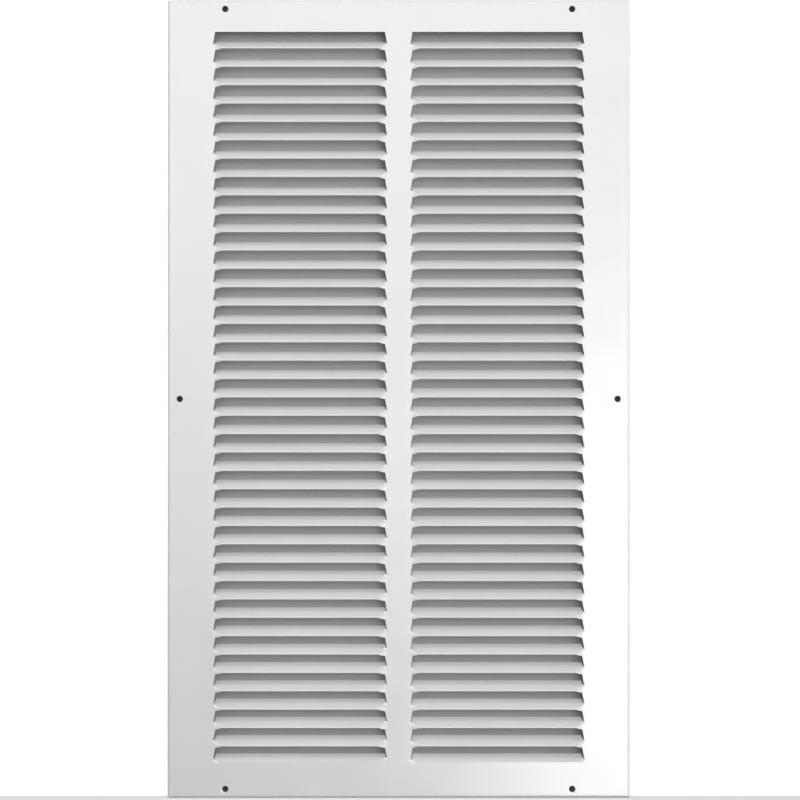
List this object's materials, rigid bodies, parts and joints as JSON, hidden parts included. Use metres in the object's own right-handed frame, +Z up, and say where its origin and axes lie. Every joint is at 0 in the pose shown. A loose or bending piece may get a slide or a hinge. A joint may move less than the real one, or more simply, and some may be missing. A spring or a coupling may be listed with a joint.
{
  "type": "louvred air grille",
  "caption": "Flat wall grille with two columns of fixed louvres, a turned-back rim and screw holes in its margins, for a return-air duct.",
  "frame": {"origin": "centre of the face on its front surface, which is also the centre of the corner screw pattern", "axes": "+X across the width, to the right seen from the room; +Z up along the height; -Y out of the wall into the room, +Y into the wall"},
  "size_m": [0.32, 0.0117, 0.5524],
  "materials": {
    "powder_coated_steel": "gloss white powder coat on cold-rolled sheet steel",
    "galvanised_steel": "bare galvanised sheet with a small spangle",
    "foam_seal": "dark grey closed-cell foam strip"
  },
  "bodies": {
    "root": {"face_panel": "powder_coated_steel", "mullion_stiffener": "galvanised_steel", "seal_top": "foam_seal", "seal_bottom": "foam_seal", "seal_left": "foam_seal", "seal_right": "foam_seal"}
  },
  "joints": []
}
